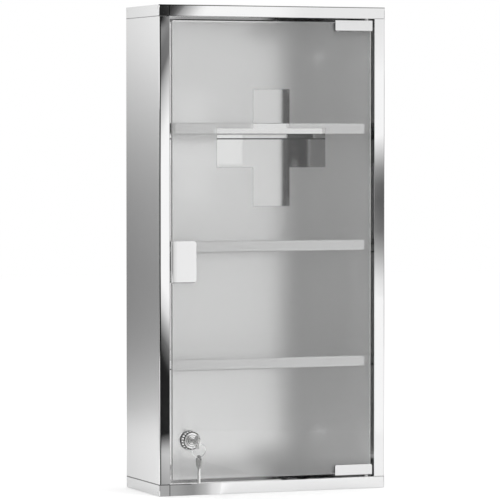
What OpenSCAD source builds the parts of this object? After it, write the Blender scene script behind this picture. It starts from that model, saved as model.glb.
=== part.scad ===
// Lockable wall cabinet in folded stainless sheet: one frosted glass door on pivot hinges, three shelves,
// a magnetic catch and a cam lock with two keys. Millimetres, Z up, the door faces -Y, and the origin is
// the middle of the underside.

/* [Cabinet] */
// Outside width
body_w = 300; // [260:5:400]
// Outside depth, from the wall to the front frame
body_d = 120; // [100:5:200]
// Outside height
body_h = 600; // [560:5:760]
// Thickness of the folded sheet
sheet_t = 0.8; // [0.6:0.1:1]
// Face width of the frame round the door, which is also the height of both caps
frame_w = 14; // [13:0.5:18]
// Depth of the lips folded back round the door opening
return_d = 12; // [10:0.5:12.5]
// Width of the flange that each side turns in at the back
rear_flange_w = 14; // [10:1:20]
// Height of the tongues of the sides that stand inside the caps
tongue_h = 10; // [6:0.5:11]
// Outside bend radius of the upright corners
bend_r = 1; // [0.5:0.1:1.5]
// Play between sheets that are welded side by side
sheet_gap = 0.1; // [0.05:0.05:0.2]
// Open joint between a side and the caps
seam_gap = 0.2; // [0.1:0.05:0.5]
// Length of the mitre slit at each corner of the caps
mitre_l = 8; // [4:1:12]

/* [Wall holes] */
// Radius of the four holes in the back
wall_hole_r = 3; // [2:0.5:4]
// Distance between the two columns of holes
wall_hole_dx = 220; // [160:5:230]
// Distance between the two rows of holes
wall_hole_dz = 480; // [440:5:500]

/* [Shelves] */
// Height of the lowest shelf's top face
first_shelf_z = 166; // [150:1:180]
// Distance from one shelf to the next
shelf_pitch = 145; // [120:1:160]
// Height of the lip at the front of a shelf
shelf_lip_h = 14; // [10:0.5:20]
// Distance from the front of the cabinet to the lip
shelf_lip_y = 10; // [9.8:0.1:12]
// Distance from the outside of the cabinet to each end of the lip
shelf_lip_end = 24; // [20:1:40]
// Width of the hem folded in along the bottom of the lip
shelf_hem = 4; // [2:0.5:8]
// Height of the flanges welded to the sides
shelf_side_h = 12; // [8:1:15]
// Height of the flange turned down along the back panel
shelf_rear_h = 20.5; // [15:0.5:25]

/* [Door] */
// Thickness of the glass
glass_t = 4; // [4:0.5:5]
// Distance from the front of the frame back to the front of the glass
glass_inset = 1.5; // [1:0.1:2]
// Gap between the glass and the frame on the lock side
door_gap_left = 3.6; // [3:0.1:5]
// Gap between the glass and the frame on the hinge side
door_gap_right = 4.5; // [4:0.1:6]
// Gap between the glass and the frame above and below
door_gap_z = 5; // [4.5:0.1:6]
// Corner radius of the glass
glass_corner_r = 3; // [1:0.5:6]
// Thickness of the frosted layer on the back of the glass
frost_t = 0.2; // [0.1:0.05:0.3]
// Thickness of the bond between the glass and the frosted layer
frost_bond = 0.05; // [0.02:0.01:0.08]
// Clear rim left between the frosted layer and the edge of the glass
frost_rim = 0.5; // [0:0.1:1]
// Overall size of the clear cross
cross_size = 144; // [100:2:180]
// Width of the arms of the cross
cross_arm = 48; // [30:1:60]
// Height of the middle of the cross
cross_z = 425.5; // [380:0.5:440]
// Distance from the middle of the cabinet to the middle of the cross
cross_x = -1; // [-10:0.5:10]

/* [Hinge clips] */
// Length of a hinge clip along the glass
hinge_clip_l = 50; // [40:1:60]
// Height of a hinge clip
hinge_clip_h = 13.4; // [12:0.2:16]
// Distance that a clip runs past the glass towards the frame
hinge_clip_over = 1.5; // [1:0.1:2]
// Gap between a hinge clip and the frame
hinge_gap = 2.6; // [2:0.1:3]
// Distance from the end of the clip to the pivot
pivot_inset = 6.3; // [5:0.1:7]
// Radius of the pivot pins
pin_r = 1.5; // [1.2:0.1:1.8]
// Running clearance round a pivot pin
pin_play = 0.05; // [0.03:0.01:0.08]
// Depth that a pin reaches into the frame
pin_reach = 6; // [4:0.5:9]
// Thickness of the clips' plate
clip_t = 1.2; // [1:0.1:1.4]
// Thickness of the pads between glass and clips
pad_t = 0.4; // [0.3:0.1:0.6]
// Radius of the corners of the hinge clips
hinge_corner_r = 2; // [1:0.5:4]
// Radius of the clamping screws
clamp_screw_r = 1.5; // [1:0.1:2]

/* [Handle clip] */
// Width of the handle clip on the glass
handle_w = 31; // [26:1:36]
// Height of the handle clip
handle_h = 51; // [40:1:60]
// Height of the middle of the handle clip
handle_z = 286; // [280:1:290]
// Radius of the free corners of the handle clip
handle_corner_r = 3.5; // [2:0.5:6]
// Radius of the bend round the edge of the glass
handle_bend_r = 1.8; // [1:0.1:2.5]

/* [Catch] */
// Width of the magnetic catch
catch_w = 22; // [18:1:26]
// Height of the magnetic catch
catch_h = 18; // [14:1:18]
// Depth of the magnetic catch
catch_d = 10; // [9:0.5:14]
// Gap between the closed handle clip and the poles of the catch
catch_gap = 0.5; // [0.3:0.1:0.8]

/* [Lock] */
// Distance from the outside of the cabinet to the axis of the lock
lock_side = 40.4; // [38:0.2:46]
// Height of the axis of the lock
lock_z = 67.5; // [50:0.5:90]
// Radius of the knurled head
lock_head_r = 11.2; // [10.8:0.1:13]
// Distance from the glass to the face of the lock
lock_head_h = 8; // [6:0.5:9]
// Radius of the turned face inside the knurled ring
lock_face_r = 9.7; // [9.2:0.1:9.9]
// Radius of the barrel that passes through the glass
lock_barrel_r = 8.5; // [8:0.1:9]
// Radius of the turning plug
lock_plug_r = 4.8; // [4.2:0.1:5.5]
// Running clearance round the plug
lock_play = 0.05; // [0.03:0.01:0.08]
// Thickness of the washers on both sides of the glass
lock_washer_t = 0.6; // [0.4:0.1:0.8]
// Thickness of the nut behind the glass
lock_nut_t = 3; // [2:0.5:4]
// Width across the flats of the nut
lock_nut_af = 22; // [20:0.5:24]
// Distance from the lock axis to the tip of the cam
cam_l = 31.5; // [30:0.5:33]
// Width of the cam
cam_w = 13; // [11:0.5:14]
// Thickness of the cam
cam_t = 2; // [1.5:0.1:2.5]
// Clearance between the closed cam and the lip it locks behind
cam_gap = 1; // [0.6:0.1:1.5]

/* [Keys] */
// Width of a key's bow
bow_w = 17; // [14:0.5:18]
// Length of a key's bow
bow_l = 17.5; // [15:0.5:18]
// Radius of the hole in the bow
key_hole_r = 2.2; // [2:0.1:2.6]
// Distance from the top of the bow to the middle of the hole
key_hole_in = 4; // [3.8:0.1:5]
// Length of the blade
blade_l = 17; // [14:0.5:18]
// Width of the blade
blade_w = 5.8; // [5:0.1:6.4]
// Thickness of a key
key_t = 1.8; // [1.4:0.1:2]
// Length of the blade that stays outside the lock
key_neck = 10; // [5:0.5:11]
// Clearance of the blade in its keyway
key_play = 0.15; // [0.1:0.05:0.2]
// Radius of the wire of the key ring
wire_r = 0.6; // [0.5:0.1:0.8]
// Radius of the key ring, to the middle of its wire
ring_r = 8.5; // [8:0.1:12]
// Clearance between the wire and the holes that it hangs in
wire_play = 0.3; // [0.2:0.05:0.4]

/* [Hidden] */
$fn = 48;

half_w = body_w / 2;
front_y = -body_d / 2;
back_y = body_d / 2;
open_x = half_w - frame_w;              // half the width of the door opening
open_z = [frame_w, body_h - frame_w];   // bottom and top of the door opening
inner_x = half_w - sheet_t - sheet_gap; // half the width of what stands between the sides
panel_y = back_y - sheet_t - sheet_gap; // rear face of the back panel
inner_y = panel_y - sheet_t - sheet_gap; // rear edge of the shelves
cut = 1;                                // how far a cutting solid runs past what it cuts

// The glass and what clamps it
glass_x = [-open_x + door_gap_left, open_x - door_gap_right];
glass_z = [open_z[0] + door_gap_z, open_z[1] - door_gap_z];
glass_y = [front_y + glass_inset, front_y + glass_inset + glass_t];
frost_y = [glass_y[1] + frost_bond, glass_y[1] + frost_bond + frost_t];
clip_slot_y = [glass_y[0] - pad_t, frost_y[1] + pad_t];
clip_y = [clip_slot_y[0] - clip_t, clip_slot_y[1] + clip_t];
edge_gap = 0.1; // between the edge of the glass and the inside of a clip
pad_inset = 0.6;
screw_proud = 0.6;

// Hinges
hinge_x = [glass_x[1] + hinge_clip_over - hinge_clip_l, glass_x[1] + hinge_clip_over];
pivot_x = hinge_x[1] - pivot_inset;
pivot_y = (clip_y[0] + clip_y[1]) / 2;
bush_r = pin_r + 1.2;
bush_flange_t = 1;
bush_proud = 0.3;
fixed_gap = 0.02; // round a part that is pressed in
collar_gap = 0.3; // below the collar that carries the door
clamp_step = 26;  // distance between two clamping screws

// Handle and catch
handle_x = [glass_x[0] - edge_gap - clip_t, glass_x[0] + handle_w];
catch_y = [clip_y[1] + catch_gap, clip_y[1] + catch_gap + catch_d];
catch_z = handle_z - 2;
catch_x = [-open_x, -open_x + catch_w];
catch_wall = 1.5;
magnet_h = 6;
pole_t = 1.2;
rivet_r = 1.2;

// Lock, along Y from its face to the end of its cam screw
lock_x = -half_w + lock_side;
bore_gap = 0.5; // round the barrel where it passes through the glass
washer_gap = 0.1;
face_y = glass_y[0] - lock_head_h;
seat_y = glass_y[0] - lock_washer_t;
rear_washer_y = frost_y[1];
nut_y = rear_washer_y + lock_washer_t;
cam_y = front_y + return_d + cam_gap;
plug_shoulder_y = cam_y - 0.2;
barrel_end_y = plug_shoulder_y - 0.2;
tail_end_y = cam_y + cam_t + 0.2;
ring_step = 0.8;  // the knurled ring lies this much behind the turned face
tail_r = 3.6;
tail_flat = 2.6;  // half the width over the flats of the tail
tail_gap = 0.1;
cam_washer_t = 0.8;
cam_screw_r = 1.4;
cam_screw_head_r = 3;
cam_screw_head_h = 2;
cam_screw_l = 5;
knurls = 40;

// Keys
keyway_l = blade_l - key_neck + 2;
key_shoulder_y = face_y - key_neck;
key_hole_y = key_shoulder_y - bow_l + key_hole_in;
wire_drop = key_hole_r - wire_r - wire_play; // the wire hangs this far below the middle of a hole
ring_top_z = lock_z - wire_drop;
ring_low_z = ring_top_z - 2 * ring_r;
spare_shoulder_z = ring_low_z - wire_drop + key_hole_in - bow_l;

// ---- shared shapes

// A box between the low and high values in x, y and z
module block(x, y, z)
    translate([x[0], y[0], z[0]]) cube([x[1] - x[0], y[1] - y[0], z[1] - z[0]]);

// A rectangle with round corners, from its low and high values
module round_rect(a, b, r) {
    for (u = [a[0] + r, a[1] - r], v = [b[0] + r, b[1] - r]) translate([u, v]) circle(r);
    translate([a[0] + r, b[0]]) square([a[1] - a[0] - 2 * r, b[1] - b[0]]);
    translate([a[0], b[0] + r]) square([a[1] - a[0], b[1] - b[0] - 2 * r]);
}

// The outside of the whole body, with bent upright corners
module body_column(z)
    translate([0, 0, z[0]]) linear_extrude(z[1] - z[0])
        round_rect([-half_w, half_w], [front_y, back_y], bend_r);

// A plate standing in XZ, with round corners
module upright_plate(x, y, z, r)
    translate([0, y[1], 0]) rotate([90, 0, 0]) linear_extrude(y[1] - y[0]) round_rect(x, z, r);

// A rod along Y at x, z
module rod_y(x, z, r, y)
    translate([x, y[0], z]) rotate([-90, 0, 0]) cylinder(r = r, h = y[1] - y[0]);

// ---- caps

// The bottom cap: a tray with a lip folded back along the door opening
module cap() {
    mitre_gap = 0.3;
    difference() {
        union() {
            difference() {
                body_column([0, frame_w]);
                block([-half_w + sheet_t, half_w - sheet_t], [front_y + sheet_t, back_y - sheet_t],
                    [sheet_t, frame_w + cut]);
            }
            block([-open_x, open_x], [front_y + sheet_t / 2, front_y + return_d],
                [frame_w - sheet_t, frame_w]);
        }
        translate([pivot_x, pivot_y, frame_w - sheet_t - cut])
            cylinder(r = bush_r + fixed_gap, h = sheet_t + 2 * cut);
        for (sx = [-1, 1], sy = [-1, 1])
            translate([sx * half_w, sy * back_y, 0]) rotate([sy * 45, 0, 0])
                cube([2 * sheet_t + cut, mitre_gap, 2 * mitre_l], center = true);
    }
}

module top_cap() color("gainsboro") translate([0, 0, body_h]) mirror([0, 0, 1]) cap();
module bottom_cap() color("gainsboro") cap();

// ---- sides

// The right side: wall, jamb with its lip, rear flange, and a joggled tongue for each cap
module side_sheet() {
    span_z = [frame_w + seam_gap, body_h - frame_w - seam_gap];
    intersection() {
        body_column(span_z);
        union() {
            block([half_w - sheet_t, half_w], [front_y, back_y], span_z);
            block([open_x, half_w], [front_y, front_y + sheet_t], span_z);
            block([open_x, open_x + sheet_t], [front_y, front_y + return_d], span_z);
            block([half_w - rear_flange_w, half_w], [back_y - sheet_t, back_y], span_z);
        }
    }
    joggle_h = 5;
    tongue_x = [inner_x - sheet_t, inner_x];
    tongue_y = [front_y + return_d + 6, inner_y - 6];
    for (up = [0, 1]) translate([0, 0, up * body_h]) mirror([0, 0, up]) {
        block(tongue_x, tongue_y, [frame_w - tongue_h, frame_w + joggle_h]);
        block([inner_x - sheet_t, half_w - sheet_t / 2], tongue_y,
            [frame_w + cut, frame_w + joggle_h]);
    }
}

module right_side() color("silver") side_sheet();
module left_side() color("silver") difference() {
    mirror([1, 0, 0]) side_sheet();
    for (z = rivet_z) translate([-open_x - sheet_t - 0.2, rivet_y, z]) rotate([0, 90, 0])
        cylinder(r = rivet_r + fixed_gap, h = sheet_t + cut);
}

// ---- back

module back_panel() color("lightgray") difference() {
    block([-inner_x, inner_x], [panel_y - sheet_t, panel_y],
        [sheet_t + sheet_gap, body_h - sheet_t - sheet_gap]);
    for (sx = [-1, 1], sz = [-1, 1])
        rod_y(sx * wall_hole_dx / 2, body_h / 2 + sz * wall_hole_dz / 2, wall_hole_r,
            [panel_y - sheet_t - cut, panel_y + cut]);
}

// ---- shelves

// A shelf with its top face at z: plate, front lip with a hem, rear flange, and a welded flange at each end
module shelf(z) {
    plate_y = [front_y + return_d + 1, inner_y];
    lip_x = half_w - shelf_lip_end;
    lip_y = front_y + shelf_lip_y;
    plate_z = [z - sheet_t, z];
    block([-inner_x, inner_x], plate_y, plate_z);
    block([-lip_x, lip_x], [lip_y, plate_y[0] + cut], plate_z);
    block([-lip_x, lip_x], [lip_y, lip_y + sheet_t], [z - shelf_lip_h, z]);
    block([-lip_x, lip_x], [lip_y, lip_y + shelf_hem], [z - shelf_lip_h, z - shelf_lip_h + sheet_t]);
    block([-inner_x, inner_x], [inner_y - sheet_t, inner_y], [z - shelf_rear_h, z]);
    for (side = [0, 1]) mirror([side, 0, 0])
        block([inner_x - sheet_t, inner_x], plate_y, [z - shelf_side_h, z]);
}

module shelf_top() color("whitesmoke") shelf(first_shelf_z + 2 * shelf_pitch);
module shelf_middle() color("whitesmoke") shelf(first_shelf_z + shelf_pitch);
module shelf_bottom() color("whitesmoke") shelf(first_shelf_z);

// ---- pivots

// The lower bush: its flange lies inside the cap, against the folded lip, and is flat towards the front
module pivot_bush() translate([pivot_x, pivot_y, frame_w - sheet_t]) difference() {
    union() {
        cylinder(r = bush_r, h = sheet_t + bush_proud);
        intersection() {
            translate([0, 0, -bush_flange_t]) cylinder(r = bush_r + 1.5, h = bush_flange_t);
            translate([-5, front_y + sheet_t + 0.05 - pivot_y, -bush_flange_t]) cube([10, 10, 2]);
        }
    }
    translate([0, 0, -bush_flange_t - cut])
        cylinder(r = pin_r + pin_play, h = sheet_t + bush_flange_t + bush_proud + 2 * cut);
}

// The lower pin: it is pressed into the clip, and its collar carries the door on the bush
module pivot_pin() translate([pivot_x, pivot_y, 0]) {
    clip_z = frame_w + hinge_gap;
    collar_z = frame_w + bush_proud + collar_gap;
    translate([0, 0, frame_w - pin_reach])
        cylinder(r = pin_r, h = glass_z[0] - edge_gap - frame_w + pin_reach);
    translate([0, 0, collar_z]) cylinder(r = pin_r + 0.8, h = clip_z - collar_z);
}

module at_top() translate([0, 0, body_h]) mirror([0, 0, 1]) children();

module upper_pivot_bush() color("dimgray") at_top() pivot_bush();
module lower_pivot_bush() color("dimgray") pivot_bush();
module upper_pivot_pin() color("silver") at_top() pivot_pin();
module lower_pivot_pin() color("silver") pivot_pin();

// ---- hinge clips

hinge_screw_z = frame_w + hinge_gap + hinge_clip_h - 5;
hinge_screw_x = (hinge_x[0] + hinge_x[1]) / 2;

// The lower clip: a U of thick plate round the edge of the glass
module hinge_clip() {
    z0 = frame_w + hinge_gap;
    z1 = z0 + hinge_clip_h;
    difference() {
        intersection() {
            block(hinge_x, clip_y, [z0, z1]);
            upright_plate(hinge_x, [clip_y[0] - cut, clip_y[1] + cut],
                [z0 - 2 * hinge_corner_r, z1], hinge_corner_r);
        }
        block([hinge_x[0] - cut, hinge_x[1] + cut], clip_slot_y, [glass_z[0] - edge_gap, z1 + cut]);
        translate([pivot_x, pivot_y, z0 - cut])
            cylinder(r = pin_r + fixed_gap, h = hinge_clip_h);
        for (side = [-0.5, 0.5])
            rod_y(hinge_screw_x + side * clamp_step, hinge_screw_z, clamp_screw_r + fixed_gap,
                [clip_slot_y[1] - cut, clip_y[1] + cut]);
    }
}

// The front and rear pads of the lower clip
module hinge_pads() {
    pad_x = [hinge_x[0] + pad_inset, glass_x[1] - pad_inset];
    pad_z = [glass_z[0] + pad_inset, frame_w + hinge_gap + hinge_clip_h - pad_inset];
    block(pad_x, [clip_slot_y[0], glass_y[0]], pad_z);
    block(pad_x, [frost_y[1], clip_slot_y[1]], pad_z);
}

module upper_hinge_clip() color("white") at_top() hinge_clip();
module lower_hinge_clip() color("white") hinge_clip();
module upper_hinge_pads() color("dimgray") at_top() hinge_pads();
module lower_hinge_pads() color("dimgray") hinge_pads();

// A socket screw that presses on the rear pad
module clamp_screw(x, z) difference() {
    rod_y(x, z, clamp_screw_r, [clip_slot_y[1], clip_y[1] + screw_proud]);
    translate([x, clip_y[1] + screw_proud, z]) rotate([90, 0, 0])
        cylinder(r = clamp_screw_r / 2, h = 2 * clip_t, center = true, $fn = 6);
}

module hinge_clamp_screws() color("silver")
    for (side = [-0.5, 0.5], z = [hinge_screw_z, body_h - hinge_screw_z])
        clamp_screw(hinge_screw_x + side * clamp_step, z);

// ---- door glass

module door_glass() color("lightblue", 0.35) difference() {
    upright_plate(glass_x, glass_y, glass_z, glass_corner_r);
    rod_y(lock_x, lock_z, lock_barrel_r + bore_gap, [glass_y[0] - cut, glass_y[1] + cut]);
}

// The frosted layer on the back of the glass, clear in the shape of a plain cross
module frosted_layer() color("white", 0.6) difference() {
    through_y = [frost_y[0] - cut, frost_y[1] + cut];
    upright_plate([glass_x[0] + frost_rim, glass_x[1] - frost_rim], frost_y,
        [glass_z[0] + frost_rim, glass_z[1] - frost_rim], glass_corner_r);
    for (arm = [[cross_size, cross_arm], [cross_arm, cross_size]])
        block([cross_x - arm[0] / 2, cross_x + arm[0] / 2], through_y,
            [cross_z - arm[1] / 2, cross_z + arm[1] / 2]);
    rod_y(lock_x, lock_z, lock_barrel_r + bore_gap, through_y);
}

// ---- handle clip

handle_screw_x = (glass_x[0] + handle_x[1]) / 2;

module handle_clip() color("white") difference() {
    z = [handle_z - handle_h / 2, handle_z + handle_h / 2];
    intersection() {
        translate([0, 0, z[0]]) linear_extrude(handle_h)
            round_rect([handle_x[0], handle_x[1] + 2 * handle_bend_r], clip_y, handle_bend_r);
        upright_plate([handle_x[0] - 2 * handle_corner_r, handle_x[1]], [clip_y[0] - cut, clip_y[1] + cut],
            z, handle_corner_r);
    }
    block([glass_x[0] - edge_gap, handle_x[1] + cut], clip_slot_y, [z[0] - cut, z[1] + cut]);
    for (side = [-0.5, 0.5])
        rod_y(handle_screw_x, handle_z + side * clamp_step, clamp_screw_r + fixed_gap,
            [clip_slot_y[1] - cut, clip_y[1] + cut]);
}

module handle_pads() color("dimgray") {
    pad_x = [glass_x[0] + pad_inset, handle_x[1] - handle_corner_r];
    pad_z = [handle_z - handle_h / 2 + pad_inset, handle_z + handle_h / 2 - pad_inset];
    block(pad_x, [clip_slot_y[0], glass_y[0]], pad_z);
    block(pad_x, [frost_y[1], clip_slot_y[1]], pad_z);
}

module handle_clamp_screws() color("silver")
    for (side = [-0.5, 0.5]) clamp_screw(handle_screw_x, handle_z + side * clamp_step);

// ---- magnetic catch

catch_mid = (catch_x[0] + catch_x[1]) / 2;
magnet_x = [catch_x[0] + 2 * catch_wall, catch_x[1] - catch_wall];
magnet_y = [catch_y[0], catch_y[1] - catch_wall];
rivet_y = (catch_y[0] + front_y + return_d) / 2;
rivet_z = [catch_z - catch_h / 2 + 3, catch_z + catch_h / 2 - 3];

module catch_housing() color("dimgray") difference() {
    pocket_h = magnet_h + 2 * pole_t + 2 * washer_gap;
    block(catch_x, [catch_y[0] + 0.4, catch_y[1]], [catch_z - catch_h / 2, catch_z + catch_h / 2]);
    block([magnet_x[0] - washer_gap, magnet_x[1] + washer_gap], [catch_y[0], magnet_y[1] + washer_gap],
        [catch_z - pocket_h / 2, catch_z + pocket_h / 2]);
    for (z = rivet_z) translate([catch_x[0] - cut, rivet_y, z]) rotate([0, 90, 0])
        cylinder(r = rivet_r + fixed_gap, h = catch_wall + cut);
}

module catch_magnet() color("darkslategray")
    block(magnet_x, [magnet_y[0] + 0.4, magnet_y[1]], [catch_z - magnet_h / 2, catch_z + magnet_h / 2]);

module catch_pole_plates() color("silver")
    for (low = [-magnet_h / 2 - pole_t, magnet_h / 2])
        block(magnet_x, magnet_y, [catch_z + low, catch_z + low + pole_t]);

// Rivets through the lip of the left side; their heads lie in the hollow of the jamb
module catch_rivets() color("silver") for (z = rivet_z) translate([catch_x[0], rivet_y, z]) {
    rotate([0, 90, 0]) cylinder(r = rivet_r, h = catch_wall);
    translate([-sheet_t, 0, 0]) rotate([0, 90, 0]) cylinder(r = rivet_r, h = sheet_t);
    translate([-sheet_t - 0.8, 0, 0]) rotate([0, 90, 0]) cylinder(r = 2 * rivet_r, h = 0.8);
}

// ---- lock

module lock_housing() color("silver") difference() {
    union() {
        rod_y(lock_x, lock_z, lock_face_r, [face_y, seat_y]);
        rod_y(lock_x, lock_z, lock_barrel_r, [face_y, barrel_end_y]);
    }
    rod_y(lock_x, lock_z, lock_plug_r + lock_play, [face_y - cut, barrel_end_y + cut]);
}

module lock_knurled_ring() color("gainsboro") difference() {
    ring_y = [face_y + ring_step, seat_y];
    rod_y(lock_x, lock_z, lock_head_r, ring_y);
    rod_y(lock_x, lock_z, lock_face_r + fixed_gap, [ring_y[0] - cut, ring_y[1] + cut]);
    for (i = [0 : knurls - 1]) {
        angle = 360 * i / knurls;
        rod_y(lock_x + lock_head_r * cos(angle), lock_z + lock_head_r * sin(angle), 0.45,
            [ring_y[0] - cut, ring_y[1] - 1.2]);
    }
}

// A washer or nut of the lock round its barrel
module lock_disc(y, r, sides = 48) difference() {
    translate([lock_x, y[0], lock_z]) rotate([-90, 0, 0]) cylinder(r = r, h = y[1] - y[0], $fn = sides);
    rod_y(lock_x, lock_z, lock_barrel_r + washer_gap, [y[0] - cut, y[1] + cut]);
}

module lock_front_washer() color("dimgray") lock_disc([seat_y, glass_y[0]], lock_head_r);
module lock_rear_washer() color("whitesmoke")
    lock_disc([rear_washer_y, rear_washer_y + lock_washer_t], lock_nut_af / 2 + 1);
module lock_nut() color("silver") lock_disc([nut_y, nut_y + lock_nut_t], lock_nut_af / sqrt(3), 6);

// A round bar with two flats, along Y
module flatted_bar(r, flat, y) intersection() {
    rod_y(lock_x, lock_z, r, y);
    block([lock_x - flat, lock_x + flat], y, [lock_z - r - cut, lock_z + r + cut]);
}

module lock_plug() color("darkgray") difference() {
    union() {
        rod_y(lock_x, lock_z, lock_plug_r, [face_y, plug_shoulder_y]);
        flatted_bar(tail_r, tail_flat, [plug_shoulder_y - cut, tail_end_y]);
    }
    block([lock_x - key_t / 2 - key_play, lock_x + key_t / 2 + key_play],
        [face_y - cut, face_y + keyway_l],
        [lock_z - blade_w / 2 - key_play, lock_z + blade_w / 2 + key_play]);
    rod_y(lock_x, lock_z, cam_screw_r + fixed_gap, [tail_end_y - cam_screw_l, tail_end_y + cut]);
}

// The cam stands up while the lock is open, and turns behind the lip of the left side to lock
module lock_cam() color("silver") difference() {
    y = [cam_y, cam_y + cam_t];
    union() {
        rod_y(lock_x, lock_z, cam_w / 2, y);
        upright_plate([lock_x - cam_w / 2, lock_x + cam_w / 2], y, [lock_z - cam_w / 2, lock_z + cam_l], 2);
    }
    flatted_bar(tail_r + tail_gap, tail_flat + tail_gap, [y[0] - cut, y[1] + cut]);
}

module cam_washer() color("silver") difference() {
    y = [tail_end_y, tail_end_y + cam_washer_t];
    rod_y(lock_x, lock_z, tail_r + 2, y);
    rod_y(lock_x, lock_z, cam_screw_r + washer_gap, [y[0] - cut, y[1] + cut]);
}

module cam_screw() color("silver") difference() {
    head_y = tail_end_y + cam_washer_t;
    end_y = head_y + cam_screw_head_h;
    union() {
        rod_y(lock_x, lock_z, cam_screw_r, [tail_end_y - cam_screw_l + 0.5, head_y + cut]);
        rod_y(lock_x, lock_z, cam_screw_head_r, [head_y, end_y]);
    }
    for (turn = [0, 90]) translate([lock_x, end_y, lock_z]) rotate([0, turn, 0])
        cube([3.4, 2, 0.8], center = true);
}

// ---- keys

// A key lying in XY: the bow reaches up in Y, the blade down, and the shoulder is at the origin
module key_blank() {
    bow_r = bow_w / 2;
    notch = 1.1;
    translate([0, 0, -key_t / 2]) difference() {
        linear_extrude(key_t) difference() {
            union() {
                translate([0, bow_l - bow_r]) circle(bow_r, $fn = 64);
                polygon([[-blade_w / 4, -blade_l], [blade_w / 4, -blade_l], [blade_w / 2, -blade_l + 2],
                    [blade_w / 2, 0], [bow_r * 0.8, bow_l * 0.3], [-bow_r * 0.8, bow_l * 0.3],
                    [-blade_w / 2, 0], [-blade_w / 2, -blade_l + 2]]);
            }
            translate([0, bow_l - key_hole_in]) circle(key_hole_r);
            for (i = [0 : 3]) translate([blade_w / 2, -blade_l + 3.2 + 2.4 * i])
                polygon([[0.1, -notch], [0.1, notch], [-notch * (i % 2 == 0 ? 1 : 0.6), 0]]);
        }
        for (side = [0, 1]) translate([0, 0, side * key_t])
            translate([-blade_w / 4, -blade_l / 2 - cut, 0]) cube([0.9, blade_l, 0.6], center = true);
    }
}

module key() color("silver") translate([lock_x, key_shoulder_y, lock_z])
    rotate([0, 90, 0]) mirror([0, 1, 0]) key_blank();

module key_ring() color("gainsboro") translate([lock_x, key_hole_y, ring_top_z - ring_r])
    rotate([90, 0, 0]) rotate_extrude($fn = 64) translate([ring_r, 0]) circle(wire_r, $fn = 16);

module spare_key() color("silver") translate([lock_x, key_hole_y, spare_shoulder_z])
    rotate([0, 0, 90]) rotate([90, 0, 0]) key_blank();

top_cap();
bottom_cap();
left_side();
right_side();
back_panel();
shelf_top();
shelf_middle();
shelf_bottom();
upper_pivot_bush();
lower_pivot_bush();
catch_housing();
catch_magnet();
catch_pole_plates();
catch_rivets();
door_glass();
frosted_layer();
upper_hinge_clip();
lower_hinge_clip();
upper_hinge_pads();
lower_hinge_pads();
upper_pivot_pin();
lower_pivot_pin();
hinge_clamp_screws();
handle_clip();
handle_pads();
handle_clamp_screws();
lock_housing();
lock_knurled_ring();
lock_front_washer();
lock_rear_washer();
lock_nut();
lock_plug();
lock_cam();
cam_washer();
cam_screw();
key();
key_ring();
spare_key();
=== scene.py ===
import math

import bpy
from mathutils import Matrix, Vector


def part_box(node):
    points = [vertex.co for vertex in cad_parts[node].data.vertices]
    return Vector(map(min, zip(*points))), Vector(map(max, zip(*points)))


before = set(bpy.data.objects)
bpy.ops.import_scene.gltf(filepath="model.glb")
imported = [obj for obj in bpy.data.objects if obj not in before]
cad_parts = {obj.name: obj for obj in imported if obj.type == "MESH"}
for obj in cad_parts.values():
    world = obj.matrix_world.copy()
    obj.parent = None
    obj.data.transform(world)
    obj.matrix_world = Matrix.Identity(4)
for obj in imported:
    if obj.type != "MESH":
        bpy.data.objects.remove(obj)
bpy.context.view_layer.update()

print("cabinet frame loaded:", len(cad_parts), "nodes")

# ---- sizes read from the frame, in metres

capLow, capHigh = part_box("bottom_cap")
glassLow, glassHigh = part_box("door_glass")
lockLow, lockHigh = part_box("lock_housing")
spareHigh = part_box("spare_key")[1]
halfWidth = capHigh.x
frontY = capLow.y
backY = capHigh.y
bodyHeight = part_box("top_cap")[1].z
jambWidth = capHigh.z
lockX = (lockLow.x + lockHigh.x) / 2
lockZ = (lockLow.z + lockHigh.z) / 2


# ---- camera: a long lens a little to the left of the cabinet and level with its upper third

viewCamera = {
    "place": (-1.568, -3.953, 0.444),
    "pitch": 1.974,   # degrees down
    "yaw": 21.545,    # degrees to the right
    "lens": 245.0,
    "sensor": 36.0,
}


def addCamera():
    data = bpy.data.cameras.new("viewCamera")
    data.lens = viewCamera["lens"]
    data.sensor_width = viewCamera["sensor"]
    data.clip_end = 50
    cam = bpy.data.objects.new("viewCamera", data)
    cam.location = viewCamera["place"]
    cam.rotation_euler = (math.radians(90 - viewCamera["pitch"]), 0, -math.radians(viewCamera["yaw"]))
    bpy.context.scene.collection.objects.link(cam)
    bpy.context.scene.camera = cam


addCamera()
bpy.context.scene.view_settings.view_transform = "Standard"
bpy.context.scene.cycles.max_bounces = 24
bpy.context.scene.cycles.transmission_bounces = 20
bpy.context.scene.cycles.glossy_bounces = 8


# ---- node helpers

def newMaterial(name):
    mat = bpy.data.materials.new(name)
    mat.use_nodes = True
    mat.node_tree.nodes.clear()
    out = mat.node_tree.nodes.new("ShaderNodeOutputMaterial")
    shader = mat.node_tree.nodes.new("ShaderNodeBsdfPrincipled")
    mat.node_tree.links.new(shader.outputs["BSDF"], out.inputs["Surface"])
    return mat, mat.node_tree, shader


def mathNode(tree, kind, a, b=None, c=None, clamp=False):
    node = tree.nodes.new("ShaderNodeMath")
    node.operation = kind
    node.use_clamp = clamp
    for socket, value in zip(node.inputs, (a, b, c)):
        if value is None:
            continue
        if isinstance(value, (int, float)):
            socket.default_value = value
        else:
            tree.links.new(value, socket)
    return node.outputs[0]


def smoothStep(tree, value, low, high, toLow=0.0, toHigh=1.0):
    node = tree.nodes.new("ShaderNodeMapRange")
    node.interpolation_type = "SMOOTHSTEP"
    node.inputs["From Min"].default_value = low
    node.inputs["From Max"].default_value = high
    node.inputs["To Min"].default_value = toLow
    node.inputs["To Max"].default_value = toHigh
    tree.links.new(value, node.inputs["Value"])
    return node.outputs["Result"]


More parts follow.
